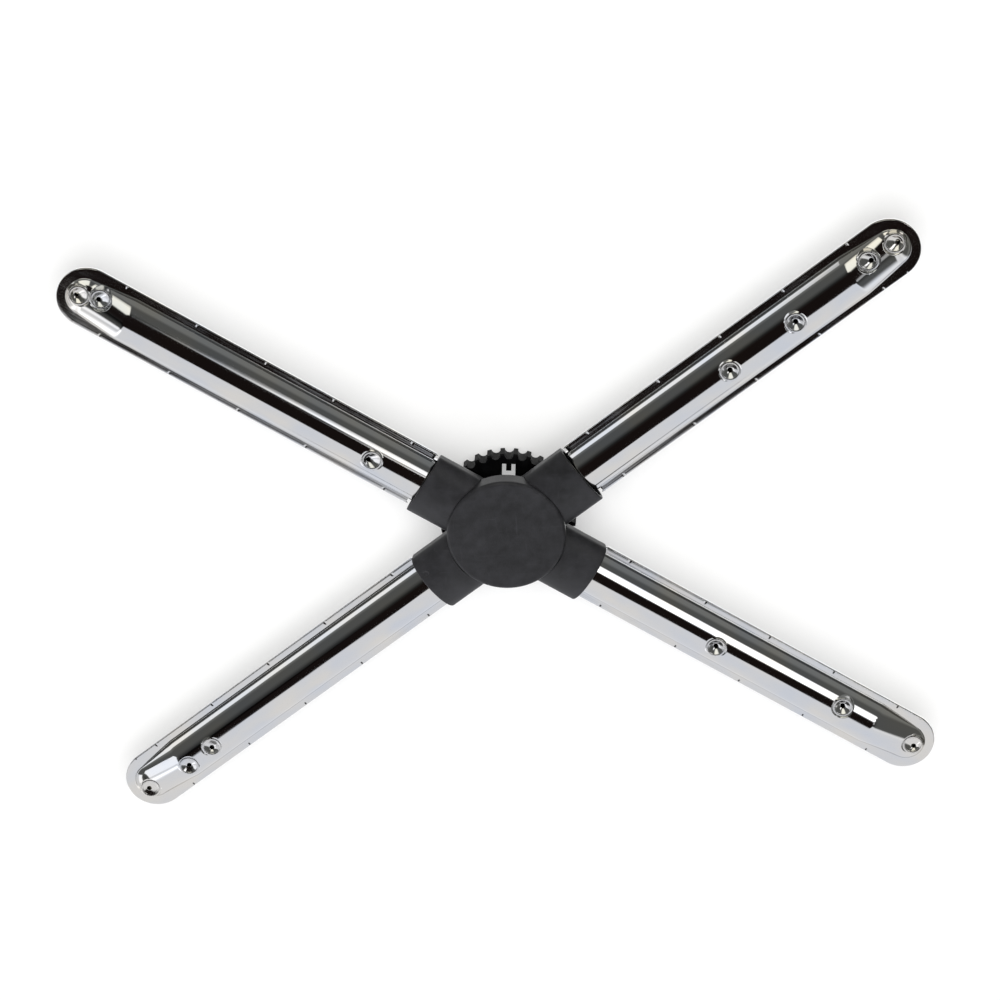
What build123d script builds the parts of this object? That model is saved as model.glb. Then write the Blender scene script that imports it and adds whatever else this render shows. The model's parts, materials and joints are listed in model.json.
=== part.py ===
"""Four-armed wash arm of a commercial dishwasher.

Frame: the origin is on the spin axis at the foot of the union nut, +Z points up to the spray side,
and +X runs along the longer side of the X that the arms make. All sizes are in millimetres.
"""
import os
from math import cos, radians, sin

from build123d import *

os.makedirs("parts", exist_ok=True)

# ---- driving dimensions ------------------------------------------------------------------------
SWEEP_RADIUS = 250.0        # spin axis to the tip of an arm
ARM_HALF_ANGLE = 35.0       # each arm to the +X or -X direction
SHEET = 1.0                 # steel sheet of shells and plates
SEAM_HEIGHT = 17.0          # plane where shells and plates meet

FLANGE_WIDTH = 30.8         # shell and plate over the seam flanges
BODY_HALF_WIDTH = 11.8      # raised body of a shell
BODY_HEIGHT = 10.0          # raised body above the seam
RAMP_START = 214.0          # where the body starts to slope down to the tip
NOSE_CENTRE = 236.0         # centre of the round nose
NOSE_HALF_WIDTH = 9.8
NOSE_HEIGHT = 4.6
ROOT_REACH = 33.0           # inner end of the arms
FLANGE_REACH = 49.2         # inside this the flange is trimmed to a lip
LIP_HALF_WIDTH = 12.6
EAR_HALF_WIDTH = 14.2       # wider root that the hub holds
EAR_LENGTH = 3.0

NOZZLE_LAND = 5.2           # radius of the flat round each nozzle
NOZZLE_SINK = 0.4           # land below the crown line
CRATER_RADIUS = 3.9
CRATER_DEPTH = 2.5
JET_RADIUS = 1.25

DRUM_RADIUS = 29.4
DRUM_WALL = 2.5
SPLIT_HEIGHT = 21.3         # plane between the hub halves
CAP_SEAT = 28.2
CAP_THICKNESS = 2.0
CAP_EDGE = 1.8              # rounded rim of the cap
SOCKET_REACH = 47.8         # mouth of a socket at its widest line
MOUTH_EDGE = 0.6            # rounding of the mouth's outside edge
MOUTH_LEAN = 0.15           # how far the mouth leans outwards for each millimetre up
SOCKET_HALF_WIDTH = 16.5
SOCKET_CROWN = 29.2
SOCKET_FLOOR = 14.2
SOCKET_CORNER = 4.8
SOCKET_WALL = 1.9
FIT_GAP = 0.25              # arms in the hub tunnels
SEAL_START = 38.6
SEAL_LENGTH = 6.8

HUB_FOOT = 9.4
BUSH_INNER = 14.05
BUSH_OUTER = 17.0
HOUSING_RADIUS = 20.0
BUSH_START = 10.4
WASHER_OUTER = 19.0
WASHER_THICKNESS = 1.0
WASHER_PLAY = 0.05

SHAFT_RADIUS = 14.0
WATER_BORE = 11.0
NECK_RADIUS = 16.0          # part of the journal that the nut turns on
SHOULDER_RADIUS = 17.5
SHOULDER_BASE = 8.5
JOURNAL_TOP = 25.0
RING_GROOVE_RADIUS = 13.2
RING_OUTER = 16.5
COLLAR_RADIUS = 20.5
COLLAR_BASE = 5.1
COLLAR_TOP = 6.1
FOOT_RADIUS = 13.5
GASKET_OUTER = 19.5
GASKET_THICKNESS = 0.8

NUT_TIP_RADIUS = 34.2
NUT_HEIGHT = 8.2
NUT_TEETH = 32
TOOTH_GAP_RADIUS = 2.3
TOOTH_GAP_CENTRE = 33.9
THREAD_RADIUS = 28.4        # minor radius of a 2 inch pipe thread
THREAD_LENGTH = 4.2
RELIEF_RADIUS = 29.2
WEB_BASE = 6.2
NUT_HOLE_RADIUS = 16.06
NUT_EDGE = 0.7
WINDOW_COUNT = 3
WINDOW_TURN = 84.375        # one window lines up with a gap between teeth
WINDOW_WIDTH = 6.6
WINDOW_INNER = 21.6
WINDOW_OUTER = 29.0
TONGUE_WIDTH = 2.6
TONGUE_REACH = 25.4

# Nozzles of each arm: place along the arm, place to its left, and how far the jet at the bottom
# of the crater leans outwards and to the left.
ARMS = {
    1: (ARM_HALF_ANGLE,
        [(239.5, 1.9, 1.4, -0.6), (224.8, 3.4, 1.1, -1.0), (179.4, 0.8, 0, 0), (139.5, 0.3, 0, 0)]),
    2: (180 - ARM_HALF_ANGLE,
        [(239.3, -0.2, 1.0, 0.6), (229.5, -4.4, 0.6, 1.0), (76.4, 0.2, 1.4, 1.0)]),
    3: (180 + ARM_HALF_ANGLE,
        [(239.2, 1.6, 0.6, -0.4), (212.0, 1.9, 0, 0), (195.3, 0.6, 0.8, 0.8)]),
    4: (-ARM_HALF_ANGLE,
        [(238.7, 1.5, 1.2, -0.8), (194.8, 3.6, 0, 0), (122.0, -0.5, 0, 0)]),
}


# ---- planes that follow an arm -----------------------------------------------------------------
def across(angle, reach, height=SEAM_HEIGHT):
    """Plane across an arm: normal outwards, local x to the arm's left, local y up."""
    c, s = cos(radians(angle)), sin(radians(angle))
    return Plane(origin=(reach * c, reach * s, height), x_dir=(-s, c, 0), z_dir=(c, s, 0))


def flat(angle, height):
    """Level plane with local x along an arm."""
    return Plane(
        origin=(0, 0, height),
        x_dir=(cos(radians(angle)), sin(radians(angle)), 0),
        z_dir=(0, 0, 1),
    )


def arch(plane, half_width, height, foot=0.0):
    """Half ellipse on a straight foot, drawn upwards from the plane's x axis."""
    with BuildSketch(plane) as face:
        with BuildLine():
            EllipticalCenterArc((0, 0), half_width, height, arc_size=180)
            if foot:
                Polyline((-half_width, 0), (-half_width, -foot), (half_width, -foot), (half_width, 0))
            else:
                Line((-half_width, 0), (half_width, 0))
        make_face()
    return face.sketch


def arched_body(angle, inset):
    """Raised body of a shell: straight arch, sloping ramp and round nose, all moved in by inset."""
    side, top = BODY_HALF_WIDTH - inset, BODY_HEIGHT - inset
    nose_side, nose_top = NOSE_HALF_WIDTH - inset, NOSE_HEIGHT - inset
    nose_plane = across(angle, NOSE_CENTRE)
    with BuildPart() as body:
        extrude(arch(across(angle, ROOT_REACH - inset), side, top), amount=RAMP_START - ROOT_REACH + inset)
        loft([arch(across(angle, RAMP_START), side, top), arch(nose_plane, nose_side, nose_top)])
        with BuildSketch(nose_plane):
            with BuildLine():
                EllipticalCenterArc((0, 0), nose_side, nose_top, arc_size=90)
                Polyline((0, nose_top), (0, 0), (nose_side, 0))
            make_face()
        revolve(axis=Axis(nose_plane.origin, (0, 0, 1)))
    return body.part


def seam_outline(angle, height):
    """Outline of the seam flange: round tip, straight sides, trimmed lip and two root ears."""
    tip = FLANGE_WIDTH / 2
    with BuildSketch(flat(angle, height)) as outline:
        with Locations(((FLANGE_REACH + SWEEP_RADIUS - tip) / 2, 0)):
            Rectangle(SWEEP_RADIUS - tip - FLANGE_REACH, FLANGE_WIDTH)
        with Locations((SWEEP_RADIUS - tip, 0)):
            Circle(tip)
        with Locations(((ROOT_REACH + FLANGE_REACH) / 2, 0)):
            Rectangle(FLANGE_REACH - ROOT_REACH, 2 * LIP_HALF_WIDTH)
        with Locations((ROOT_REACH + EAR_LENGTH / 2, 0)):
            Rectangle(EAR_LENGTH, 2 * EAR_HALF_WIDTH)
    return outline.sketch


def crown_height(reach, left):
    """Height of the shell's outside over a point of the arm."""
    share = min(max((reach - RAMP_START) / (NOSE_CENTRE - RAMP_START), 0), 1)
    top = BODY_HEIGHT + share * (NOSE_HEIGHT - BODY_HEIGHT)
    side = BODY_HALF_WIDTH + share * (NOSE_HALF_WIDTH - BODY_HALF_WIDTH)
    off = max(reach - NOSE_CENTRE, 0)
    return SEAM_HEIGHT + top * (1 - (left**2 + off**2) / side**2) ** 0.5


def disc(angle, height, reach, left, radius):
    """Level disc over a point of an arm."""
    with BuildSketch(flat(angle, height)) as face:
        with Locations((reach, left)):
            Circle(radius)
    return face.sketch


# ---- arms: pressed shell and flat plate --------------------------------------------------------
for number, (angle, nozzles) in ARMS.items():
    with BuildPart() as shell:
        add(arched_body(angle, 0))
        extrude(seam_outline(angle, SEAM_HEIGHT), amount=SHEET)
        add(arched_body(angle, SHEET), mode=Mode.SUBTRACT)
        for reach, left, lean_out, lean_left in nozzles:
            top = crown_height(reach, left) - NOZZLE_SINK
            bottom = top - CRATER_DEPTH
            land = disc(angle, top, reach, left, NOZZLE_LAND)
            rim = disc(angle, top, reach, left, CRATER_RADIUS)
            jet = disc(angle, bottom, reach + lean_out, left + lean_left, JET_RADIUS)
            extrude(land, amount=-CRATER_DEPTH - SHEET / 2)
            extrude(land, amount=NOZZLE_LAND / 2, mode=Mode.SUBTRACT)
            loft([rim, jet], mode=Mode.SUBTRACT)
            extrude(jet, amount=-2 * SHEET, mode=Mode.SUBTRACT)
    shell.part.label = f"arm_{number}_shell"
    export_step(shell.part, f"parts/arm_{number}_shell.step")

    with BuildPart() as plate:
        extrude(seam_outline(angle, SEAM_HEIGHT - SHEET), amount=SHEET)
    plate.part.label = f"arm_{number}_plate"
    export_step(plate.part, f"parts/arm_{number}_plate.step")


# ---- hub: two moulded halves welded round the arm roots, and a cap ---------------------------------
def socket(angle, start, length, inset=0.0):
    """Oval socket tube along an arm, moved in by inset."""
    side = SOCKET_HALF_WIDTH - inset
    rise = SOCKET_CROWN - SPLIT_HEIGHT - inset
    depth = SPLIT_HEIGHT - SOCKET_FLOOR - inset
    corner = SOCKET_CORNER - inset / 2
    with BuildPart() as tube:
        with BuildSketch(across(angle, start, SPLIT_HEIGHT)):
            with BuildLine():
                EllipticalCenterArc((0, 0), side, rise, arc_size=180)
                FilletPolyline((-side, 0), (-side, -depth), (side, -depth), (side, 0), radius=corner)
            make_face()
        extrude(amount=length)
    return tube.part


def mouth(angle):
    """Plane that a socket ends on: it leans outwards towards the crown."""
    rest = across(angle, SOCKET_REACH, SPLIT_HEIGHT)
    return Plane(origin=rest.origin, x_dir=rest.x_dir, z_dir=rest.z_dir - Vector(0, 0, MOUTH_LEAN))


def round_mouths(half):
    """Rounds the outside edge of the four mouths of a hub half."""
    for angle, _ in ARMS.values():
        plane = mouth(angle)
        rim = [
            edge for edge in half.edges()
            if all(abs(plane.to_local_coords(edge.position_at(s)).Z) < 0.001 for s in (0, 0.5, 1))
            and socket_edge(plane, edge)
        ]
        fillet(rim, MOUTH_EDGE)


def socket_edge(plane, edge):
    """True for an edge on the outside of a socket's mouth."""
    spot = plane.to_local_coords(edge.position_at(0.5))
    rise, depth = SOCKET_CROWN - SPLIT_HEIGHT, SPLIT_HEIGHT - SOCKET_FLOOR
    inside_x = SOCKET_HALF_WIDTH - SOCKET_WALL / 2
    if spot.Y > 0.001:
        return (spot.X / inside_x) ** 2 + (spot.Y / (rise - SOCKET_WALL / 2)) ** 2 > 1
    return abs(spot.X) > inside_x or spot.Y < -depth + SOCKET_WALL / 2


def arm_root(angle, start, length, gap):
    """Tunnel or plug that follows an arm's D-shaped root with a gap all round."""
    floor = across(angle, start, SEAM_HEIGHT)
    with BuildPart() as root:
        extrude(arch(floor, LIP_HALF_WIDTH - SHEET / 2 + gap, BODY_HEIGHT + gap, SHEET + gap), amount=length)
        with BuildSketch(floor):
            Rectangle(2 * (LIP_HALF_WIDTH + gap), 2 * (SHEET + gap))
        extrude(amount=length)
    return root.part


def turned(*points):
    """Solid of revolution round the spin axis from (radius, height) corners."""
    with BuildPart() as body:
        with BuildSketch(Plane.XZ):
            with BuildLine():
                Polyline(*points, close=True)
            make_face()
        revolve(axis=Axis.Z)
    return body.part


def ring(inner, outer, bottom, top):
    """Plain ring round the spin axis."""
    return turned((inner, bottom), (outer, bottom), (outer, top), (inner, top))


inner_drum = DRUM_RADIUS - DRUM_WALL
ear_pocket_half_width = EAR_HALF_WIDTH + FIT_GAP
ear_pocket_start = ROOT_REACH - FIT_GAP
ear_pocket_end = ROOT_REACH + EAR_LENGTH + FIT_GAP
root_space = inner_drum - 2

with BuildPart() as hub_upper:
    add(ring(root_space, DRUM_RADIUS, SPLIT_HEIGHT, CAP_SEAT))
    add(ring(HOUSING_RADIUS + 4, DRUM_RADIUS, CAP_SEAT - 2, CAP_SEAT))
    for angle, _ in ARMS.values():
        add(socket(angle, root_space, SOCKET_REACH))
    split(bisect_by=Plane.XY.offset(SPLIT_HEIGHT), keep=Keep.TOP)
    for angle, _ in ARMS.values():
        split(bisect_by=mouth(angle), keep=Keep.BOTTOM)
    add(ring(0.1, DRUM_RADIUS + 0.1, CAP_SEAT, SOCKET_CROWN + 1), mode=Mode.SUBTRACT)
    add(ring(0.1, inner_drum, SOCKET_FLOOR, CAP_SEAT - 2), mode=Mode.SUBTRACT)
    for angle, _ in ARMS.values():
        add(arm_root(angle, root_space - 1, SOCKET_REACH, FIT_GAP), mode=Mode.SUBTRACT)
        add(socket(angle, SEAL_START, SOCKET_REACH, SOCKET_WALL), mode=Mode.SUBTRACT)
    round_mouths(hub_upper)
hub_upper.part.label = "hub_upper"
export_step(hub_upper.part, "parts/hub_upper.step")

with BuildPart() as hub_lower:
    add(turned((BUSH_OUTER, HUB_FOOT), (21.5, HUB_FOOT), (24.0, 12.0), (26.5, SEAM_HEIGHT),
               (DRUM_RADIUS, SPLIT_HEIGHT), (BUSH_OUTER, SPLIT_HEIGHT)))
    for angle, _ in ARMS.values():
        add(socket(angle, HOUSING_RADIUS, SOCKET_REACH))
    split(bisect_by=Plane.XY.offset(SPLIT_HEIGHT), keep=Keep.BOTTOM)
    for angle, _ in ARMS.values():
        split(bisect_by=mouth(angle), keep=Keep.BOTTOM)
    add(turned((HOUSING_RADIUS, 11.6), (21.8, 11.6), (24.0, 16.0), (inner_drum, SPLIT_HEIGHT - 1),
               (inner_drum, SPLIT_HEIGHT + 1), (HOUSING_RADIUS, SPLIT_HEIGHT + 1)), mode=Mode.SUBTRACT)
    add(ring(0.1, WASHER_OUTER + 0.4, HUB_FOOT - 1, BUSH_START), mode=Mode.SUBTRACT)
    add(ring(0.1, BUSH_OUTER, HUB_FOOT, SPLIT_HEIGHT + 1), mode=Mode.SUBTRACT)
    for angle, _ in ARMS.values():
        add(arm_root(angle, HOUSING_RADIUS + 1.5, SOCKET_REACH, FIT_GAP), mode=Mode.SUBTRACT)
        add(socket(angle, SEAL_START, SOCKET_REACH, SOCKET_WALL), mode=Mode.SUBTRACT)
        with BuildSketch(flat(angle, SEAM_HEIGHT - SHEET - FIT_GAP)):
            with Locations(((ear_pocket_start + ear_pocket_end) / 2, 0)):
                Rectangle(ear_pocket_end - ear_pocket_start, 2 * ear_pocket_half_width)
        extrude(amount=2 * (SHEET + FIT_GAP), mode=Mode.SUBTRACT)
    round_mouths(hub_lower)
hub_lower.part.label = "hub_lower"
export_step(hub_lower.part, "parts/hub_lower.step")

cap_top = CAP_SEAT + CAP_THICKNESS
with BuildPart() as hub_cap:
    with BuildSketch(Plane.XY.offset(CAP_SEAT)):
        Circle(DRUM_RADIUS)
    extrude(amount=CAP_THICKNESS)
    fillet(hub_cap.edges().group_by(Axis.Z)[-1], CAP_EDGE)
    add(ring(HOUSING_RADIUS + 1, HOUSING_RADIUS + 3.8, CAP_SEAT - 2, CAP_SEAT))
hub_cap.part.label = "hub_cap"
export_step(hub_cap.part, "parts/hub_cap.step")

for number, (angle, _) in ARMS.items():
    with BuildPart() as seal:
        add(socket(angle, SEAL_START, SEAL_LENGTH, SOCKET_WALL))
        add(arm_root(angle, SEAL_START, SEAL_LENGTH, 0), mode=Mode.SUBTRACT)
    seal.part.label = f"arm_{number}_seal"
    export_step(seal.part, f"parts/arm_{number}_seal.step")

# ---- bearing: bush in the hub, fixed journal with washers and ring ----------------------------------
lower_washer_base = BUSH_START - WASHER_PLAY - WASHER_THICKNESS
upper_washer_base = SPLIT_HEIGHT + WASHER_PLAY
ring_base = upper_washer_base + WASHER_THICKNESS
ring_top = ring_base + 1.0

with BuildPart() as bearing_bush:
    add(ring(BUSH_INNER, BUSH_OUTER, BUSH_START, SPLIT_HEIGHT))
bearing_bush.part.label = "bearing_bush"
export_step(bearing_bush.part, "parts/bearing_bush.step")

with BuildPart() as bearing_journal:
    add(turned((WATER_BORE, COLLAR_BASE), (FOOT_RADIUS, COLLAR_BASE), (FOOT_RADIUS, COLLAR_TOP),
               (NECK_RADIUS, COLLAR_TOP), (NECK_RADIUS, SHOULDER_BASE), (SHOULDER_RADIUS, SHOULDER_BASE),
               (SHOULDER_RADIUS, lower_washer_base), (SHAFT_RADIUS, lower_washer_base),
               (SHAFT_RADIUS, ring_base), (RING_GROOVE_RADIUS, ring_base), (RING_GROOVE_RADIUS, ring_top),
               (SHAFT_RADIUS, ring_top), (SHAFT_RADIUS, JOURNAL_TOP), (WATER_BORE, JOURNAL_TOP)))
bearing_journal.part.label = "bearing_journal"
export_step(bearing_journal.part, "parts/bearing_journal.step")

with BuildPart() as thrust_washer_lower:
    add(ring(BUSH_INNER, WASHER_OUTER, lower_washer_base, lower_washer_base + WASHER_THICKNESS))
thrust_washer_lower.part.label = "thrust_washer_lower"
export_step(thrust_washer_lower.part, "parts/thrust_washer_lower.step")

with BuildPart() as thrust_washer_upper:
    add(ring(BUSH_INNER, WASHER_OUTER, upper_washer_base, ring_base))
thrust_washer_upper.part.label = "thrust_washer_upper"
export_step(thrust_washer_upper.part, "parts/thrust_washer_upper.step")

with BuildPart() as retaining_ring:
    with BuildSketch(Plane.XY.offset(ring_base)):
        Circle(RING_OUTER)
        Circle(RING_GROOVE_RADIUS, mode=Mode.SUBTRACT)
        with Locations((RING_OUTER, 0)):
            Rectangle(2 * (RING_OUTER - RING_GROOVE_RADIUS) + 1, 5, mode=Mode.SUBTRACT)
    extrude(amount=ring_top - ring_base)
retaining_ring.part.label = "retaining_ring"
export_step(retaining_ring.part, "parts/retaining_ring.step")

with BuildPart() as journal_collar:
    add(ring(FOOT_RADIUS, COLLAR_RADIUS, COLLAR_BASE, COLLAR_TOP))
journal_collar.part.label = "journal_collar"
export_step(journal_collar.part, "parts/journal_collar.step")

with BuildPart() as foot_gasket:
    add(ring(FOOT_RADIUS, GASKET_OUTER, COLLAR_BASE - GASKET_THICKNESS, COLLAR_BASE))
foot_gasket.part.label = "foot_gasket"
export_step(foot_gasket.part, "parts/foot_gasket.step")

# ---- union nut: knurled skirt, threaded mouth, web with snap tongues --------------------------------
with BuildPart() as union_nut:
    add(turned((THREAD_RADIUS, 0), (NUT_TIP_RADIUS - NUT_EDGE, 0), (NUT_TIP_RADIUS, NUT_EDGE),
               (NUT_TIP_RADIUS, NUT_HEIGHT - NUT_EDGE), (NUT_TIP_RADIUS - NUT_EDGE, NUT_HEIGHT),
               (NUT_HOLE_RADIUS, NUT_HEIGHT), (NUT_HOLE_RADIUS, WEB_BASE), (RELIEF_RADIUS, WEB_BASE),
               (RELIEF_RADIUS, THREAD_LENGTH), (THREAD_RADIUS, THREAD_LENGTH)))
    with BuildSketch():
        with PolarLocations(TOOTH_GAP_CENTRE, NUT_TEETH, start_angle=WINDOW_TURN):
            Circle(TOOTH_GAP_RADIUS)
    extrude(amount=NUT_HEIGHT, mode=Mode.SUBTRACT)
    with BuildSketch(Plane.XY.offset(WEB_BASE)):
        with PolarLocations((WINDOW_INNER + WINDOW_OUTER) / 2, WINDOW_COUNT, start_angle=WINDOW_TURN):
            Rectangle(WINDOW_OUTER - WINDOW_INNER, WINDOW_WIDTH)
        with PolarLocations((TONGUE_REACH + WINDOW_OUTER) / 2, WINDOW_COUNT, start_angle=WINDOW_TURN):
            Rectangle(WINDOW_OUTER - TONGUE_REACH + 0.2, TONGUE_WIDTH, mode=Mode.SUBTRACT)
    extrude(amount=NUT_HEIGHT - WEB_BASE, mode=Mode.SUBTRACT)
union_nut.part.label = "union_nut"
export_step(union_nut.part, "parts/union_nut.step")
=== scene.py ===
"""Looks of the wash arm: polished stainless arms, a moulded hub and a knurled union nut."""
import json
import math

import bpy
import numpy as np
from mathutils import Matrix, Vector
from mathutils.geometry import delaunay_2d_cdt


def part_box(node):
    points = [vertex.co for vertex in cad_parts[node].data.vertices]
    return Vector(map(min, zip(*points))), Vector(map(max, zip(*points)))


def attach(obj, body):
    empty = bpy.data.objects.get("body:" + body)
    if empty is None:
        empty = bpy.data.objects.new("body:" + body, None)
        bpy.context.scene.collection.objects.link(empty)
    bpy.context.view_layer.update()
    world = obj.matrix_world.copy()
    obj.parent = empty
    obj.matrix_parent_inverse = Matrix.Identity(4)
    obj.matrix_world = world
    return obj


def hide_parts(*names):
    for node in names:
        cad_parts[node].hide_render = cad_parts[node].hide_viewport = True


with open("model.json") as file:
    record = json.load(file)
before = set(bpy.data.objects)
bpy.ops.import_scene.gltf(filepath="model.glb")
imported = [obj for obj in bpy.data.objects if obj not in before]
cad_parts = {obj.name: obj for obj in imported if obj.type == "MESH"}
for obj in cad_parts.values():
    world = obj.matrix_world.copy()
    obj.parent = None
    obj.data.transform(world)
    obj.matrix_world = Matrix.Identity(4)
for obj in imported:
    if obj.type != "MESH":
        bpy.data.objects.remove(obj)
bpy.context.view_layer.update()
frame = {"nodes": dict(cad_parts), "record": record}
MM = 0.001
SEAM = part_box("arm_1_plate")[1].z / MM      # plane where shells and plates meet

# ---- pressed shell of an arm, in millimetres: u along the arm, t to its left, z above the seam ------
SHEET = 1.0
ROOT_REACH = 33.0
LIP_END = 49.2
LIP_HALF_WIDTH = 12.6
FLANGE_HALF_WIDTH = 15.4
TIP_CENTRE = 250.0 - FLANGE_HALF_WIDTH
BODY_HALF_WIDTH = 11.8
BODY_HEIGHT = 10.0
RAMP_START = 214.0
NOSE_CENTRE = 236.0
NOSE_HALF_WIDTH = 9.8
NOSE_HEIGHT = 4.6
PRESS_BREAK = 1.2           # half length over which the press turns the crown into the ramp
FOOT_FILLET = 0.8           # bend where the body meets the flange
RIM_ROUND = 0.3             # deburred edge of the flange
NOZZLE_SINK = 0.4
LAND_EDGE = (5.0, 5.9)      # the flat round a nozzle ends between these radii
CRATER_RADIUS = 3.9
JET_RADIUS = 1.25
BEAD_MIDDLE = 4.5           # raised bead coined round the crater
BEAD_HALF_WIDTH = 0.75
BEAD_HEIGHT = 0.16
CRATER_ROUND = 0.1          # rounding of the crater's rim as a share of its width
CRATER_BOWL = 1.3           # 1 for a cone, more for a bowl
CRATER_COINED = 0.35        # how dull the crater is beside the ring round it
CRIMP_REACHES = (62.4, 106.5, 144.3, 182.5, 220.8)
CRIMP_START = 13.6          # the crimps cross the flange outside this
CRIMP_FADE = 0.5
CRIMP_DEPTH = 0.18
CRIMP_HALF_LENGTH = 0.4
SKIN_GAP = 0.03             # the inner skin stays this much inside the sheet's real thickness
SEAM_GAP = 0.02             # shells and plates stay this far off the seam plane

# Nozzles of each arm: place along the arm, place to its left, lean of the jet outwards and left,
# and depth of the crater.
ARMS = {
    1: (35, [(239.5, 1.9, 1.4, -0.6, 1.5), (224.8, 3.4, 1.1, -1.0, 1.7), (179.4, 0.8, 0, 0, 1.9),
             (139.5, 0.3, 0, 0, 1.9)]),
    2: (145, [(239.3, -0.2, 1.0, 0.6, 1.4), (229.5, -4.4, 0.6, 1.0, 1.6), (76.4, 0.2, 1.4, 1.0, 1.9)]),
    3: (215, [(239.2, 1.6, 0.6, -0.4, 0.4), (212.0, 1.9, 0, 0, 1.1), (195.3, 0.6, 0.8, 0.8, 1.7)]),
    4: (-35, [(238.7, 1.5, 1.2, -0.8, 1.3), (194.8, 3.6, 0, 0, 1.9), (122.0, -0.5, 0, 0, 1.9)]),
}


def eased(x, width):
    """x where it is positive and 0 where it is negative, with a round turn between."""
    return np.where(x < -width, 0, np.where(x > width, x, (x + width) ** 2 / (4 * width)))


def smooth(x, start, end):
    """0 before start, 1 after end and a smooth rise between."""
    s = np.clip((x - start) / (end - start), 0, 1)
    return s * s * (3 - 2 * s)


def body_size(u):
    """Half width and height of the raised body."""
    along_ramp = eased(u - RAMP_START, PRESS_BREAK) - eased(u - NOSE_CENTRE, PRESS_BREAK)
    share = along_ramp / (NOSE_CENTRE - RAMP_START)
    side = BODY_HALF_WIDTH + share * (NOSE_HALF_WIDTH - BODY_HALF_WIDTH)
    return side, BODY_HEIGHT + share * (NOSE_HEIGHT - BODY_HEIGHT)


def wall_foot(side, top):
    """Distance off the middle line where the wall turns into the foot bend."""
    return side * np.sqrt(1 - ((SHEET + FOOT_FILLET) / top) ** 2)


def body_surface(u, t):
    """Height of the arched body, its foot bend and the flange."""
    side, top = body_size(u)
    off = np.hypot(t, np.maximum(u - NOSE_CENTRE, 0))
    arch = top * np.sqrt(np.maximum(1 - (off / side) ** 2, 0))
    past = off - wall_foot(side, top)
    drop = np.sqrt(np.maximum(FOOT_FILLET**2 - np.maximum(FOOT_FILLET - past, 0) ** 2, 0))
    bend = SHEET + FOOT_FILLET - drop
    return np.where(past > 0, np.maximum(arch, bend), arch)


def crater_share(du, dt, lean_u, lean_t):
    """How far down the leaning crater a point is: 0 at its rim, 1 at the jet. The circles from the rim
    to the jet shrink and shift evenly, and this finds the one that the point lies on."""
    taper = CRATER_RADIUS - JET_RADIUS
    a = taper**2 - lean_u**2 - lean_t**2
    b = 2 * taper * CRATER_RADIUS - 2 * (du * lean_u + dt * lean_t)
    c = du**2 + dt**2 - CRATER_RADIUS**2
    return (b - np.sqrt(np.maximum(b * b + 4 * a * c, 0))) / (2 * a)


def shell_surface(u, t, nozzles):
    """Height of the finished shell over the seam."""
    z = body_surface(u, t)
    for uc, tc, lean_u, lean_t, depth in nozzles:
        land = body_surface(np.float64(uc), np.float64(tc)) - NOZZLE_SINK
        du, dt = u - uc, t - tc
        away = np.hypot(du, dt)
        edge = smooth(away, *LAND_EDGE)
        bead = np.clip(1 - ((away - BEAD_MIDDLE) / BEAD_HALF_WIDTH) ** 2, 0, 1)
        z = (land + BEAD_HEIGHT * bead) * (1 - edge) + z * edge
        fall = np.clip(eased(crater_share(du, dt, lean_u, lean_t), CRATER_ROUND), 0, 1)
        z = z - depth * (1 - (1 - fall) ** CRATER_BOWL)
    for reach in CRIMP_REACHES:
        across = smooth(np.abs(t), CRIMP_START, CRIMP_START + CRIMP_FADE)
        z = z - CRIMP_DEPTH * np.exp(-((u - reach) / CRIMP_HALF_LENGTH) ** 2) * across
    rim = FLANGE_HALF_WIDTH - np.hypot(t, np.maximum(u - TIP_CENTRE, 0))
    inside = np.clip(RIM_ROUND - rim, 0, RIM_ROUND * 0.98)
    return z - np.where(u > LIP_END, RIM_ROUND - np.sqrt(RIM_ROUND**2 - inside**2), 0)


# ---- points of a shell in plan -----------------------------------------------------------------------
ARCH_SHARES = [math.sin(math.radians(a)) for a in range(0, 76, 5)] + [0.974, 0.98]
FOOT_STEPS = [0.0, 0.03, 0.08, 0.16, 0.3, 0.5, 0.75, 1.0]
FLANGE_LINES = [13.0, 13.3, 13.6, 14.3]
TIP_RINGS = [12.6, 13.8]
RIM_LINES = [FLANGE_HALF_WIDTH - RIM_ROUND * s for s in (1.0, 0.6, 0.3, 0.1, 0.0)]
CRIMP_LINES = (-1.4, -1.0, -0.7, -0.45, -0.2, 0, 0.2, 0.45, 0.7, 1.0, 1.4)
ROOT_STEP, BODY_STEP, RAMP_STEP = 3.2, 3.3, 0.6
RAMP_LEAD = 2.0             # the close lines start this far before the ramp
RING_POINTS = 48
CLEAR_RING = 6.1            # the body's own points stay outside this round a nozzle
BEFORE_LIP = 0.02           # the root's last row of points stands this far before the flange
LIP_CLEAR = 0.05            # and its outermost points this far inside the root's edge
SLOPE_STEP = 0.03           # over which the surface's slope is taken
LAND_RINGS = (6.0, 5.85, 5.7, 5.5, 5.3, 5.15, 5.0, 4.85, 4.7, 4.5, 4.3, 4.15)
CRATER_SHARES = (-0.15, -0.1, -0.06, -0.02, 0.02, 0.06, 0.1, 0.2, 0.4, 0.6, 0.8, 0.93)


def circle(u, t, radius, count):
    turn = np.arange(count) * 2 * math.pi / count
    return [(u + radius * math.cos(a), t + radius * math.sin(a)) for a in turn]


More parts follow.
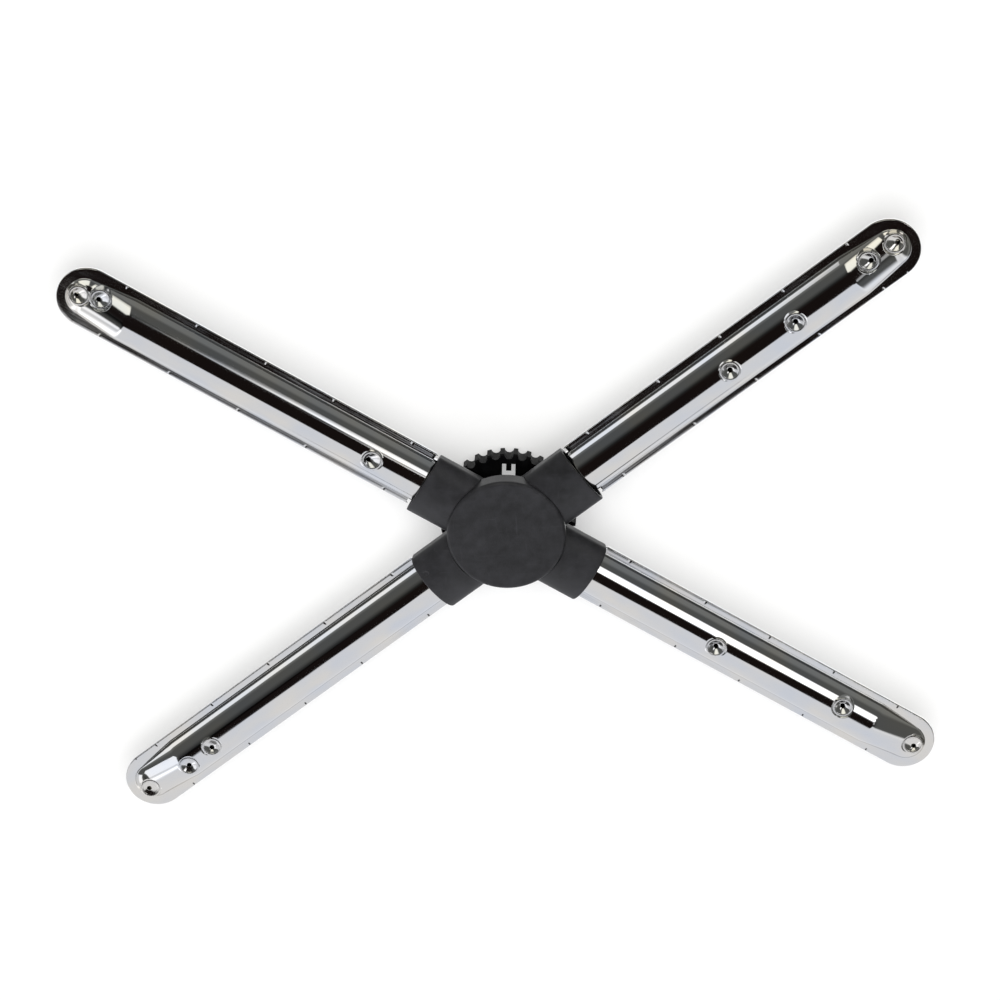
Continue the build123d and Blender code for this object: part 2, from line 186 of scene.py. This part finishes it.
def cross_lines():
    """Places along the arm that get a row of points: close together where the sheet bends."""
    lines = [ROOT_REACH + ROOT_STEP * k for k in range(5)] + [LIP_END - BEFORE_LIP]
    lines += list(np.arange(LIP_END, RAMP_START - RAMP_LEAD, BODY_STEP))
    lines += list(np.arange(RAMP_START - RAMP_LEAD, NOSE_CENTRE, RAMP_STEP)) + [NOSE_CENTRE]
    for reach in CRIMP_REACHES:
        lines += [reach + s for s in CRIMP_LINES]
    return lines


def across_body(u, shares):
    """Distances off the middle line of the points on the arch and its foot bend."""
    side, top = (float(v) for v in body_size(np.float64(u)))
    foot = float(wall_foot(side, top))
    return [s * side for s in shares if s * side < foot] + [foot + s * FOOT_FILLET for s in FOOT_STEPS]


def body_points(lines):
    """Points in rows across the arm, then in rings round its nose and its tip."""
    points = []
    for u in sorted(set(round(float(v), 3) for v in lines)):
        offs = across_body(u, ARCH_SHARES)
        offs = [v for v in offs if v < LIP_HALF_WIDTH - LIP_CLEAR or u >= LIP_END]
        if u >= LIP_END:
            offs += FLANGE_LINES + (RIM_LINES[:-1] if u < TIP_CENTRE else [])
        points += [(u, v) for v in offs] + [(u, -v) for v in offs if v > 0]
    nose_rings = across_body(NOSE_CENTRE + 2, ARCH_SHARES[2:])
    for a in np.radians(np.arange(-86, 87, 4)):
        points += [(NOSE_CENTRE + r * math.cos(a), r * math.sin(a)) for r in nose_rings]
    for a in np.radians(np.arange(-87, 88, 3)):
        points += [(TIP_CENTRE + r * math.cos(a), r * math.sin(a)) for r in TIP_RINGS + RIM_LINES[:-1]]
    return points


def nozzle_points(nozzle, others):
    """Rings of points on the land and down the crater; the land's rings stop at another nozzle's land."""
    uc, tc, lean_u, lean_t, _ = nozzle
    points = []
    for radius in LAND_RINGS:
        points += [p for p in circle(uc, tc, radius, RING_POINTS)
                   if all(math.hypot(p[0] - n[0], p[1] - n[1]) > LAND_EDGE[0] for n in others)]
    for share in CRATER_SHARES:
        radius = CRATER_RADIUS + share * (JET_RADIUS - CRATER_RADIUS)
        points += circle(uc + share * lean_u, tc + share * lean_t, radius, RING_POINTS)
    return points


def arm_outline(lines):
    """Edge of an arm in plan: the narrow root, the lips and the round tip."""
    half, lip = FLANGE_HALF_WIDTH, LIP_HALF_WIDTH
    straight = [u for u in sorted(set(lines)) if LIP_END < u < TIP_CENTRE]
    edge = [(ROOT_REACH, -lip), (LIP_END, -lip), (LIP_END, -half)] + [(u, -half) for u in straight]
    edge += [(TIP_CENTRE + half * math.cos(a), half * math.sin(a)) for a in np.radians(np.arange(-90, 91, 3))]
    edge += [(u, half) for u in reversed(straight)]
    return edge + [(LIP_END, half), (LIP_END, lip), (ROOT_REACH, lip)]


def shell_points(nozzles):
    """Points of the shell in plan, with the loops of its outline and of its jets."""
    lines = cross_lines()
    points = body_points(lines)
    for uc, tc, *_ in nozzles:
        points = [p for p in points if math.hypot(p[0] - uc, p[1] - tc) > CLEAR_RING]
    jets = []
    for nozzle in nozzles:
        uc, tc, lean_u, lean_t, _ = nozzle
        points += nozzle_points(nozzle, [n for n in nozzles if n != nozzle])
        jets.append(circle(uc + lean_u, tc + lean_t, JET_RADIUS, RING_POINTS))
    return points, arm_outline(lines), jets


def in_shell(u, t, jets):
    """True where the sheet has metal."""
    if u < ROOT_REACH or (u < LIP_END and abs(t) > LIP_HALF_WIDTH):
        return False
    if math.hypot(t, max(u - TIP_CENTRE, 0)) > FLANGE_HALF_WIDTH:
        return False
    for loop in jets:
        uc, tc = sum(p[0] for p in loop) / len(loop), sum(p[1] for p in loop) / len(loop)
        if math.hypot(u - uc, t - tc) < JET_RADIUS * 0.99:
            return False
    return True


def cut_plan(points, outline, jets):
    """Flat triangles over the metal: their corners in plan and their faces."""
    coords, edges = [Vector(p) for p in points], []
    for loop in [outline] + jets:
        first = len(coords)
        coords += [Vector(p) for p in loop]
        edges += [(first + i, first + (i + 1) % len(loop)) for i in range(len(loop))]
    plan, _, cells, *_ = delaunay_2d_cdt(coords, edges, [], 0, 1e-4, False)
    plan = np.array([tuple(p) for p in plan])
    faces = [tuple(cell) for cell in cells if in_shell(*plan[list(cell)].mean(0), jets)]
    used = sorted({i for f in faces for i in f})
    new = {old: i for i, old in enumerate(used)}
    return plan[used, 0], plan[used, 1], [tuple(new[i] for i in f) for f in faces]


def pressed_skins(u, t, nozzles):
    """Outer skin, inner skin one sheet below it, and the outer skin's normals."""
    step = SLOPE_STEP
    z = shell_surface(u, t, nozzles)
    slope_u = (shell_surface(u + step, t, nozzles) - shell_surface(u - step, t, nozzles)) / (2 * step)
    slope_t = (shell_surface(u, t + step, nozzles) - shell_surface(u, t - step, nozzles)) / (2 * step)
    normal = np.stack([-slope_u, -slope_t, np.ones_like(u)], 1)
    normal /= np.linalg.norm(normal, axis=1)[:, None]
    outside = np.stack([u, t, z], 1)
    inside = outside - normal * (SHEET - SKIN_GAP)
    inside[:, 2] = np.maximum(inside[:, 2], SEAM_GAP)
    return outside, inside, normal


def border_walls(faces, count):
    """Quads that join the edge of the outer skin to the inner skin, count points further on."""
    sides = [(f[i], f[(i + 1) % 3]) for f in faces for i in range(3)]
    known = set(sides)
    return [(b, a, a + count, b + count) for a, b in sides if (b, a) not in known]


def shade_skins(mesh, turned):
    """Normals of the pressed surface on both skins, and flat ones on the walls between them."""
    count = len(turned)
    loop_normals = []
    for poly in mesh.polygons:
        wall = len(poly.vertices) == 4
        for v in poly.vertices:
            n = poly.normal if wall else Vector(turned[v % count]) * (1 if v < count else -1)
            loop_normals.append(tuple(n))
    mesh.normals_split_custom_set(loop_normals)


def coined_share(local, nozzles):
    """1 on the ring round a nozzle, less in its crater and 0 elsewhere."""
    worked = np.zeros(len(local))
    for uc, tc, *_ in nozzles:
        away = np.hypot(local[:, 0] - uc, local[:, 1] - tc)
        ring = CRATER_COINED + (1 - CRATER_COINED) * smooth(away, CRATER_RADIUS - 0.5, CRATER_RADIUS)
        worked = np.maximum(worked, ring * (1 - smooth(away, *LAND_EDGE)))
    return worked


def shell_mesh(number):
    """Closed sheet of one arm: pressed outside, inside one sheet below, with smooth normals."""
    angle, nozzles = ARMS[number]
    u, t, faces = cut_plan(*shell_points(nozzles))
    outside, inside, normal = pressed_skins(u, t, nozzles)
    count = len(u)
    under = [tuple(i + count for i in reversed(f)) for f in faces]
    local = np.concatenate([outside, inside])
    mesh = bpy.data.meshes.new(f"arm_{number}_pressed_shell")
    mesh.from_pydata(place_arm(local, angle).tolist(), [], faces + under + border_walls(faces, count))
    mesh.polygons.foreach_set("use_smooth", [True] * len(mesh.polygons))
    mesh.update()
    shade_skins(mesh, place_arm(normal / MM, angle) - np.array([0, 0, SEAM * MM]))
    mesh.attributes.new("coined", "FLOAT", "POINT").data.foreach_set("value", coined_share(local, nozzles))
    lay_along(mesh, local)
    return mesh


def lay_along(mesh, local):
    """Texture map in metres: across its width runs the arm's length."""
    uv = mesh.uv_layers.new(name="UVMap")
    for loop in mesh.loops:
        u, t = local[loop.vertex_index][:2]
        uv.data[loop.index].uv = (u * MM, (t + FLANGE_HALF_WIDTH) * MM)


def place_arm(local, angle):
    """Points of an arm in the row frame, in metres."""
    turn = math.radians(angle)
    spin = np.array([[math.cos(turn), math.sin(turn), 0], [-math.sin(turn), math.cos(turn), 0], [0, 0, 1]])
    return (local @ spin + np.array([0, 0, SEAM])) * MM


# Steps down the edge of a bottom plate: how far in, and the height from the seam.
PLATE_RIM = [(0.0, -SEAM_GAP), (0.0, -0.78), (0.03, -0.89), (0.1, -0.96), (0.22, -1.0), (3.0, -1.0)]
SHARP_EDGE = math.radians(50)


def plate_mesh(number):
    """Flat bottom plate of one arm with a deburred edge."""
    loop = np.array(arm_outline(cross_lines()))
    ahead, behind = np.roll(loop, -1, 0) - loop, loop - np.roll(loop, 1, 0)
    along = ahead / np.linalg.norm(ahead, axis=1)[:, None] + behind / np.linalg.norm(behind, axis=1)[:, None]
    along /= np.linalg.norm(along, axis=1)[:, None]
    inward = np.stack([-along[:, 1], along[:, 0]], 1)
    count = len(loop)
    rings = [np.column_stack([loop + inward * move, np.full(count, height)]) for move, height in PLATE_RIM]
    faces = []
    for k in range(len(rings) - 1):
        for i in range(count):
            j = (i + 1) % count
            faces.append((k * count + i, (k + 1) * count + i, (k + 1) * count + j, k * count + j))
    faces += [tuple(range(count)), tuple(range(len(rings) * count - 1, (len(rings) - 1) * count - 1, -1))]
    local = np.concatenate(rings)
    mesh = bpy.data.meshes.new(f"arm_{number}_base_plate")
    mesh.from_pydata(place_arm(local, ARMS[number][0]).tolist(), [], faces)
    mesh.polygons.foreach_set("use_smooth", [len(f) == 4 for f in faces])
    lay_along(mesh, local)
    mesh.update()
    mesh.set_sharp_from_angle(angle=SHARP_EDGE)
    return mesh


# ---- materials -----------------------------------------------------------------------------------
def srgb(code):
    """Linear colour of an sRGB hex code."""
    parts = [int(code[i:i + 2], 16) / 255 for i in (1, 3, 5)]
    return [p / 12.92 if p <= 0.04045 else ((p + 0.055) / 1.055) ** 2.4 for p in parts] + [1.0]


def node(tree, kind, settings=None, values=None, links=None):
    """Adds a node with its settings, socket values and incoming links."""
    new = tree.nodes.new(kind)
    for name, value in (settings or {}).items():
        setattr(new, name, value)
    for name, value in (values or {}).items():
        new.inputs[name].default_value = value
    for name, source in (links or {}).items():
        tree.links.new(source, new.inputs[name])
    return new


def new_material(name, **shader):
    """Material with a Principled shader; shader gives its plain socket values."""
    made = bpy.data.materials.new(name)
    made.use_nodes = True
    bsdf = made.node_tree.nodes["Principled BSDF"]
    for socket, value in shader.items():
        bsdf.inputs[socket.replace("_", " ")].default_value = value
    return made, made.node_tree, bsdf


def math_node(tree, operation, *inputs, clamp=False):
    """Math node over sockets and plain numbers."""
    new = node(tree, "ShaderNodeMath", {"operation": operation, "use_clamp": clamp})
    for index, item in enumerate(inputs):
        if isinstance(item, (int, float)):
            new.inputs[index].default_value = item
        else:
            tree.links.new(item, new.inputs[index])
    return new.outputs[0]


def grain(tree, place, size, detail=2.0, rough=0.5, stretch=(1, 1, 1)):
    """Noise with blobs of this size in metres, drawn out along each axis by its stretch."""
    scaled = node(tree, "ShaderNodeMapping", {"vector_type": "POINT"},
                  {"Scale": [1 / (size * s) for s in stretch]}, {"Vector": place})
    return node(tree, "ShaderNodeTexNoise", values={"Scale": 1.0, "Detail": detail, "Roughness": rough},
                links={"Vector": scaled.outputs["Vector"]}).outputs["Fac"]


def ranged(tree, value, start, end, low, high):
    """Value carried from the range start..end to low..high, held at its ends."""
    ends = {"From Min": start, "From Max": end, "To Min": low, "To Max": high}
    return node(tree, "ShaderNodeMapRange", values=ends, links={"Value": value}).outputs["Result"]


def tinted(tree, bsdf, share, first, second):
    """Base colour between two hex colours by share."""
    mix = node(tree, "ShaderNodeMix", {"data_type": "RGBA"}, links={"Factor": share})
    mix.inputs["A"].default_value, mix.inputs["B"].default_value = srgb(first), srgb(second)
    tree.links.new(mix.outputs["Result"], bsdf.inputs["Base Color"])


def relief(tree, bsdf, layers):
    """Bump from (height, real height in metres) layers."""
    last = None
    for height, depth in layers:
        bump = node(tree, "ShaderNodeBump", values={"Strength": 1.0, "Distance": depth},
                    links={"Height": height})
        if last:
            tree.links.new(last.outputs["Normal"], bump.inputs["Normal"])
        last = bump
    tree.links.new(last.outputs["Normal"], bsdf.inputs["Normal"])


def polished_stainless():
    """Grade 304 stainless sheet, pressed and then belt and mop polished along the arm.
    It shows mirror bands that waver a little, fine rub lines along the arm, faint straw and
    blue patches, and a duller coined ring round each nozzle. Rub lines are 0.1 mm apart on the
    real one and are drawn 0.9 mm apart to show."""
    made, tree, bsdf = new_material("polished_stainless", Metallic=1.0)
    along = node(tree, "ShaderNodeTexCoord").outputs["UV"]
    lines = grain(tree, along, 0.0009, 3.0, 0.6, (70, 1, 1))
    fine = grain(tree, along, 0.0005, 2.0, 0.6, (160, 1, 1))
    waver = grain(tree, along, 0.012, 1.0, 0.4, (3.5, 1, 1))
    patches = grain(tree, along, 0.016, 2.0, 0.5, (2, 1, 1))
    tinted(tree, bsdf, ranged(tree, patches, 0.35, 0.65, 0, 1), "#dad7d2", "#ced1d7")
    coined = node(tree, "ShaderNodeAttribute", {"attribute_name": "coined"}).outputs["Fac"]
    smears = ranged(tree, grain(tree, along, 0.009, 3.0, 0.6, (2.5, 1, 1)), 0.45, 0.75, 0.035, 0.085)
    duller = math_node(tree, "MULTIPLY", coined, 0.2)
    rubbed = ranged(tree, lines, 0.3, 0.7, 0, 0.03)
    rough = math_node(tree, "ADD", smears, math_node(tree, "ADD", duller, rubbed))
    tree.links.new(rough, bsdf.inputs["Roughness"])
    relief(tree, bsdf, [(waver, 6e-5), (lines, 9e-6), (fine, 2.5e-6)])
    return made


GATE_MARK = (-41.64, -19.5, 28.2)       # where the mould fed the plastic in, on the arm 3 socket
GATE_RADIUS = 1.5
GATE_EDGE = 0.3


def glass_filled_polypropylene():
    """Glass-filled polypropylene, injection moulded in a spark-eroded mould: an even satin with a
    grain of 0.3 mm drawn at 0.6 mm to show, cloudy where the fibres come up, with a few pale scuffs
    from handling and the round gate mark on one socket."""
    made, tree, bsdf = new_material("glass_filled_polypropylene", Specular_IOR_Level=0.4)
    place = node(tree, "ShaderNodeTexCoord").outputs["Object"]
    eroded = grain(tree, place, 0.0006, 3.0, 0.6)
    flow = grain(tree, place, 0.006, 4.0, 0.6)
    cloud = grain(tree, place, 0.02, 2.0, 0.5)
    scuffs = ranged(tree, grain(tree, place, 0.0012, 2.0, 0.5, (14, 1, 1)), 0.66, 0.74, 0, 0.6)
    scuffs_across = ranged(tree, grain(tree, place, 0.0012, 2.0, 0.5, (1, 14, 1)), 0.67, 0.75, 0, 0.6)
    marks = math_node(tree, "MAXIMUM", scuffs, scuffs_across)
    fibres = ranged(tree, flow, 0.35, 0.65, 0, 0.35)
    shade = math_node(tree, "ADD", fibres, ranged(tree, cloud, 0.35, 0.65, 0, 0.25))
    shade = math_node(tree, "ADD", shade, math_node(tree, "MULTIPLY", marks, 0.5), clamp=True)
    tinted(tree, bsdf, shade, "#19191b", "#333337")
    satin = ranged(tree, flow, 0.3, 0.7, 0.42, 0.52)
    rough = math_node(tree, "ADD", satin, math_node(tree, "MULTIPLY", marks, 0.1))
    tree.links.new(rough, bsdf.inputs["Roughness"])
    away = node(tree, "ShaderNodeVectorMath", {"operation": "DISTANCE"}, links={0: place})
    away.inputs[1].default_value = [c * MM for c in GATE_MARK]
    start, end = ((GATE_RADIUS + side * GATE_EDGE) * MM for side in (-1, 1))
    rim = ranged(tree, away.outputs["Value"], start, end, 0, 1)
    relief(tree, bsdf, [(rim, 3e-4), (flow, 7e-5), (eroded, 5e-5)])
    return made


def moulded_acetal(name, dark, light, rough, gloss):
    """Black acetal, injection moulded: blacker than the hub, with a fine grain of 0.25 mm drawn at
    0.5 mm, and patches that have gone a little grey from spanners and fingers."""
    made, tree, bsdf = new_material(name, Specular_IOR_Level=gloss)
    place = node(tree, "ShaderNodeTexCoord").outputs["Object"]
    fine = grain(tree, place, 0.0005, 2.0, 0.5)
    flow = grain(tree, place, 0.005, 3.0, 0.55)
    tinted(tree, bsdf, ranged(tree, flow, 0.4, 0.7, 0, 1), dark, light)
    tree.links.new(ranged(tree, flow, 0.3, 0.7, rough, rough + 0.12), bsdf.inputs["Roughness"])
    relief(tree, bsdf, [(flow, 2e-5), (fine, 1e-5)])
    return made


WAVE_PERIOD = 0.314         # of Blender's wave texture at scale 1
RING_PITCH = 0.0005


def turned_bearing_plastic():
    """Natural white bearing plastic, turned on a lathe: waxy, slightly yellow, with tool rings
    0.25 mm apart drawn at 0.5 mm and faint grey rubbing marks."""
    made, tree, bsdf = new_material("turned_bearing_plastic", Specular_IOR_Level=0.45)
    place = node(tree, "ShaderNodeTexCoord").outputs["Object"]
    waves = node(tree, "ShaderNodeTexWave", {"wave_type": "RINGS", "rings_direction": "Z"},
                 {"Scale": WAVE_PERIOD / RING_PITCH, "Distortion": 0.4, "Detail": 1.0}, {"Vector": place})
    rub = grain(tree, place, 0.003, 3.0, 0.6)
    tinted(tree, bsdf, ranged(tree, rub, 0.4, 0.75, 0, 1), "#dedacd", "#b9b6ac")
    tree.links.new(ranged(tree, rub, 0.3, 0.7, 0.3, 0.45), bsdf.inputs["Roughness"])
    relief(tree, bsdf, [(waves.outputs["Fac"], 1.2e-5)])
    return made


def moulded_nitrile():
    """Nitrile rubber seal, compression moulded: dull black with a dusty bloom and a fine pebble."""
    made, tree, bsdf = new_material("moulded_nitrile", Specular_IOR_Level=0.35)
    place = node(tree, "ShaderNodeTexCoord").outputs["Object"]
    bloom = grain(tree, place, 0.004, 4.0, 0.6)
    pebble = grain(tree, place, 0.0005, 2.0, 0.5)
    tinted(tree, bsdf, ranged(tree, bloom, 0.45, 0.75, 0, 1), "#0f0f10", "#232322")
    tree.links.new(ranged(tree, bloom, 0.3, 0.7, 0.65, 0.85), bsdf.inputs["Roughness"])
    relief(tree, bsdf, [(pebble, 2e-5)])
    return made


def rolled_spring_steel():
    """Cold-rolled spring steel, blanked and tempered: grey, satin, with rolling lines one way and
    a straw tint where it was heated."""
    made, tree, bsdf = new_material("rolled_spring_steel", Metallic=1.0)
    place = node(tree, "ShaderNodeTexCoord").outputs["Object"]
    lines = grain(tree, place, 0.0003, 3.0, 0.6, (40, 1, 1))
    heat = grain(tree, place, 0.006, 2.0, 0.5)
    tinted(tree, bsdf, ranged(tree, heat, 0.4, 0.65, 0, 1), "#8d8e90", "#94897a")
    tree.links.new(ranged(tree, lines, 0.3, 0.7, 0.26, 0.4), bsdf.inputs["Roughness"])
    relief(tree, bsdf, [(lines, 4e-6)])
    return made


FINISH = {
    "polished_steel": polished_stainless(),
    "hub_plastic": glass_filled_polypropylene(),
    "nut_plastic": moulded_acetal("black_acetal", "#060607", "#0e0e0f", 0.5, 0.08),
    "journal_plastic": moulded_acetal("polished_acetal", "#17171a", "#212123", 0.22, 0.3),
    "bearing_plastic": turned_bearing_plastic(),
    "seal_rubber": moulded_nitrile(),
    "spring_steel": rolled_spring_steel(),
}
for entry in frame["record"]["subparts"]:
    kept = frame["nodes"][entry["node"]].data
    kept.materials.clear()
    kept.materials.append(FINISH[entry["material_slot"]])


def add_steel(name, mesh, stands_for):
    """Puts a steel piece of an arm in place of its CAD node."""
    piece = bpy.data.objects.new(name, mesh)
    bpy.context.collection.objects.link(piece)
    mesh.materials.append(FINISH["polished_steel"])
    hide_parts(stands_for)
    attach(piece, "rotor")


for number in ARMS:
    add_steel(f"arm_{number}_pressed_shell", shell_mesh(number), f"arm_{number}_shell")
    add_steel(f"arm_{number}_base_plate", plate_mesh(number), f"arm_{number}_plate")

# ---- camera: above the spray side, turned so that the near arms are at the top --------------------
CAMERA_RIGHT = Vector((0.9964, -0.0780, -0.0320))
CAMERA_UP = Vector((0.0559, 0.8953, -0.4420))
CAMERA_BACK = Vector((0.0631, 0.4386, 0.8965))
CAMERA_PLACE = Vector((105.3, 762.4, 1530.4 + SEAM)) * MM
CAMERA_LENS = 124.45

camera = bpy.data.objects.new("camera", bpy.data.cameras.new("camera"))
bpy.context.collection.objects.link(camera)
camera.data.lens = CAMERA_LENS
camera.data.clip_end = 50
turn = Matrix((CAMERA_RIGHT, CAMERA_UP, CAMERA_BACK)).transposed()
camera.matrix_world = Matrix.Translation(CAMERA_PLACE) @ turn.to_4x4()
bpy.context.scene.camera = camera
bpy.context.scene.view_settings.view_transform = "Standard"

# ---- studio: a white table lit through from below, a bright far wall, a dark ceiling and soft boxes ---
FLOOR_HALF = 6.0
mesh = bpy.data.meshes.new("floor")
mesh.from_pydata([(-FLOOR_HALF, -FLOOR_HALF, 0), (FLOOR_HALF, -FLOOR_HALF, 0),
                  (FLOOR_HALF, FLOOR_HALF, 0), (-FLOOR_HALF, FLOOR_HALF, 0)], [], [(0, 1, 2, 3)])
floor = bpy.data.objects.new("floor", mesh)
bpy.context.collection.objects.link(floor)
floor.data.materials.append(new_material("floor_white", Base_Color=srgb("#c8c8c8"), Roughness=0.8,
                                         Emission_Color=srgb("#ffffff"), Emission_Strength=0.4)[0])
floor.visible_glossy = False        # the steel mirrors the studio round the table instead


def window(tree, value, start, end, soft):
    """1 between start and end, falling to 0 over soft degrees on both sides."""
    up = node(tree, "ShaderNodeMapRange", {"interpolation_type": "SMOOTHSTEP"},
              {"From Min": start - soft, "From Max": start}, {"Value": value})
    down = node(tree, "ShaderNodeMapRange", {"interpolation_type": "SMOOTHSTEP"},
                {"From Min": end + soft, "From Max": end}, {"Value": value})
    return math_node(tree, "MULTIPLY", up.outputs["Result"], down.outputs["Result"])


# Panels of the studio by bearing and height in degrees: (bearing from, to, soft), (height from, to,
# soft), colour, light. A later panel adds to the ones before.
PANELS = [
    ((-132, -52, 9), (-91, 62, 3), "#f3f4f7", 1.02),          # bright far wall
    ((-181, -132, 9), (-91, 40, 8), "#f3f4f7", 0.92),
    ((-52, 181, 9), (-91, 44, 26), "#e8eae6", 0.13),          # dim room
    ((-52, 181, 9), (-91, 2, 20), "#e8eae6", 0.13),
    ((-181, -132, 9), (40, 50, 14), "#e8eae6", 0.10),
    ((-181, -146, 4), (24, 43, 2), "#fbfcff", 0.45),          # window behind the left arms
    ((138, 181, 4), (-20, 1, 4), "#fbfcff", 1.0),             # lit edge of the table
    ((-52, 181, 9), (-91, -46, 12), "#f8f8f8", 1.5),          # table top
    ((8, 24, 10), (57, 67, 3), "#ffffff", 2.2),               # soft box overhead
    ((-24, -4, 8), (62, 66, 3), "#ffffff", 0.45),
    ((22, 38, 8), (46, 58, 6), "#ffffff", 1.7),
    ((72, 116, 8), (22, 58, 6), "#fffdf0", 1.2),              # soft box on the near side
    ((-181, 181, 1), (66, 91, 3), "#2a2220", 0.45),           # dark ceiling
]


def studio_world():
    """Light by direction, summed over the panels."""
    world = bpy.data.worlds.new("studio")
    bpy.context.scene.world = world
    world.use_nodes = True
    tree = world.node_tree
    direction = node(tree, "ShaderNodeSeparateXYZ",
                     links={"Vector": node(tree, "ShaderNodeTexCoord").outputs["Generated"]})
    x, y, z = (direction.outputs[i] for i in range(3))
    height = math_node(tree, "MULTIPLY", math_node(tree, "ARCSINE", z), 180 / math.pi)
    bearing = math_node(tree, "MULTIPLY", math_node(tree, "ARCTAN2", y, x), 180 / math.pi)
    total = None
    for across, up, color, light in PANELS:
        share = math_node(tree, "MULTIPLY", window(tree, bearing, *across), window(tree, height, *up))
        lit = node(tree, "ShaderNodeVectorMath", {"operation": "SCALE"}, links={"Scale": share})
        lit.inputs[0].default_value = [c * light for c in srgb(color)[:3]]
        if total is None:
            total = lit
        else:
            total = node(tree, "ShaderNodeVectorMath", {"operation": "ADD"},
                         links={0: total.outputs["Vector"], 1: lit.outputs["Vector"]})
    tree.links.new(total.outputs["Vector"], tree.nodes["Background"].inputs["Color"])


studio_world()

KEY_PLACE = (0.1, 0.2, 2.6)
KEY_ACROSS = 4.0
KEY_WATTS = 75

key = bpy.data.objects.new("key", bpy.data.lights.new("key", "AREA"))
key.data.shape = "DISK"
key.data.size = KEY_ACROSS
key.data.energy = KEY_WATTS
key.location = KEY_PLACE
key.rotation_euler = (Vector((0, 0, 0)) - key.location).to_track_quat("-Z", "Y").to_euler()
key.visible_glossy = False
bpy.context.collection.objects.link(key)
